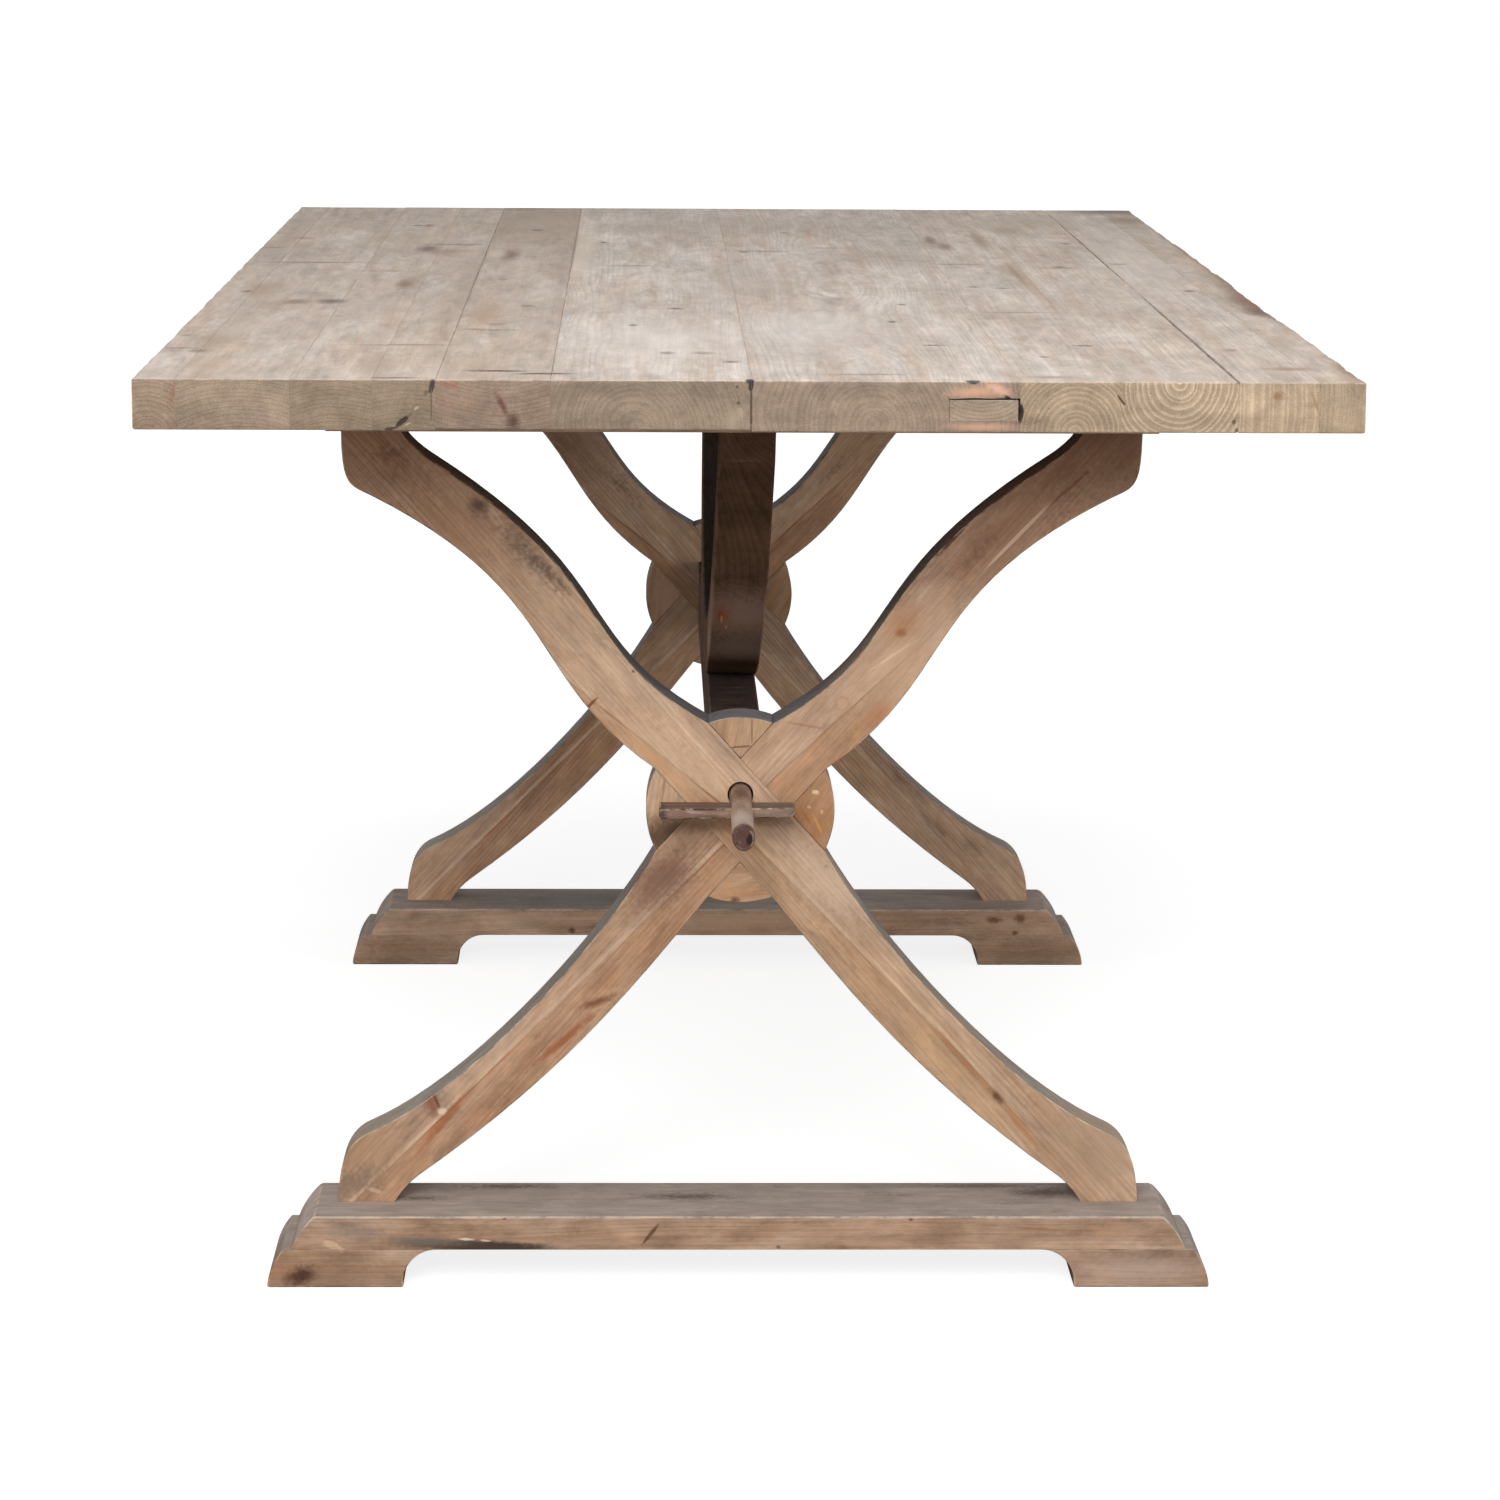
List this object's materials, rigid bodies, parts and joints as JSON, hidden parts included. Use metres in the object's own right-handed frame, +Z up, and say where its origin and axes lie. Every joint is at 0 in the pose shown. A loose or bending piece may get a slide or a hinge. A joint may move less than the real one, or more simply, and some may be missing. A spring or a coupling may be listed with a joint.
{
  "type": "sawbuck table",
  "caption": "Long plank-topped table on curved X trestles, tied by a stretcher with curved braces; round pegs through the hubs are locked by loose wedges.",
  "frame": {"origin": "on the ground under the middle of the top", "axes": "+Z up, +Y along the table from the near trestle to the far one, +X to the right seen from the near end"},
  "size_m": [0.914, 1.829, 0.768],
  "materials": {
    "top_planks": "weathered, waxed, cross saw marks",
    "patch": "weathered",
    "legs": "planed and waxed",
    "feet": "worn, planed",
    "rails": "rough sawn",
    "braces": "worn, dark",
    "stretcher": "worn, dark",
    "pegs": "worn, rough end",
    "wedges": "worn, weathered",
    "dowels": "plain turned",
    "screws": "zinc plated"
  },
  "bodies": {
    "table": {"top_board_1": "top_planks", "top_board_2": "top_planks", "top_board_3": "top_planks", "top_board_4": "top_planks", "top_board_5": "top_planks", "top_board_6": "top_planks", "top_board_7": "top_planks", "top_board_8": "top_planks", "top_board_9": "top_planks", "top_board_10": "top_planks", "top_board_11": "top_planks", "end_patch": "patch", "rail_screws": "screws", "pad_dowels": "dowels", "brace_screws": "screws", "stretcher": "stretcher", "near_through_leg": "legs", "near_lapped_leg": "legs", "near_hub_block_top": "legs", "near_hub_block_right": "legs", "near_hub_block_bottom": "legs", "near_hub_block_left": "legs", "near_foot_beam": "feet", "near_foot_pad_left": "feet", "near_foot_pad_right": "feet", "near_top_rail": "rails", "near_brace": "braces", "near_peg": "pegs", "far_through_leg": "legs", "far_lapped_leg": "legs", "far_hub_block_top": "legs", "far_hub_block_right": "legs", "far_hub_block_bottom": "legs", "far_hub_block_left": "legs", "far_foot_beam": "feet", "far_foot_pad_left": "feet", "far_foot_pad_right": "feet", "far_top_rail": "rails", "far_brace": "braces", "far_peg": "pegs"},
    "near_wedge": {"near_wedge": "wedges"},
    "far_wedge": {"far_wedge": "wedges"}
  },
  "joints": [
    {"name": "near_wedge_slide", "type": "slide", "parent": "table", "child": "near_wedge", "axis": [-1, 0, 0], "range_m": [0, 0.04]},
    {"name": "far_wedge_slide", "type": "slide", "parent": "table", "child": "far_wedge", "axis": [1, 0, 0], "range_m": [0, 0.04]}
  ]
}
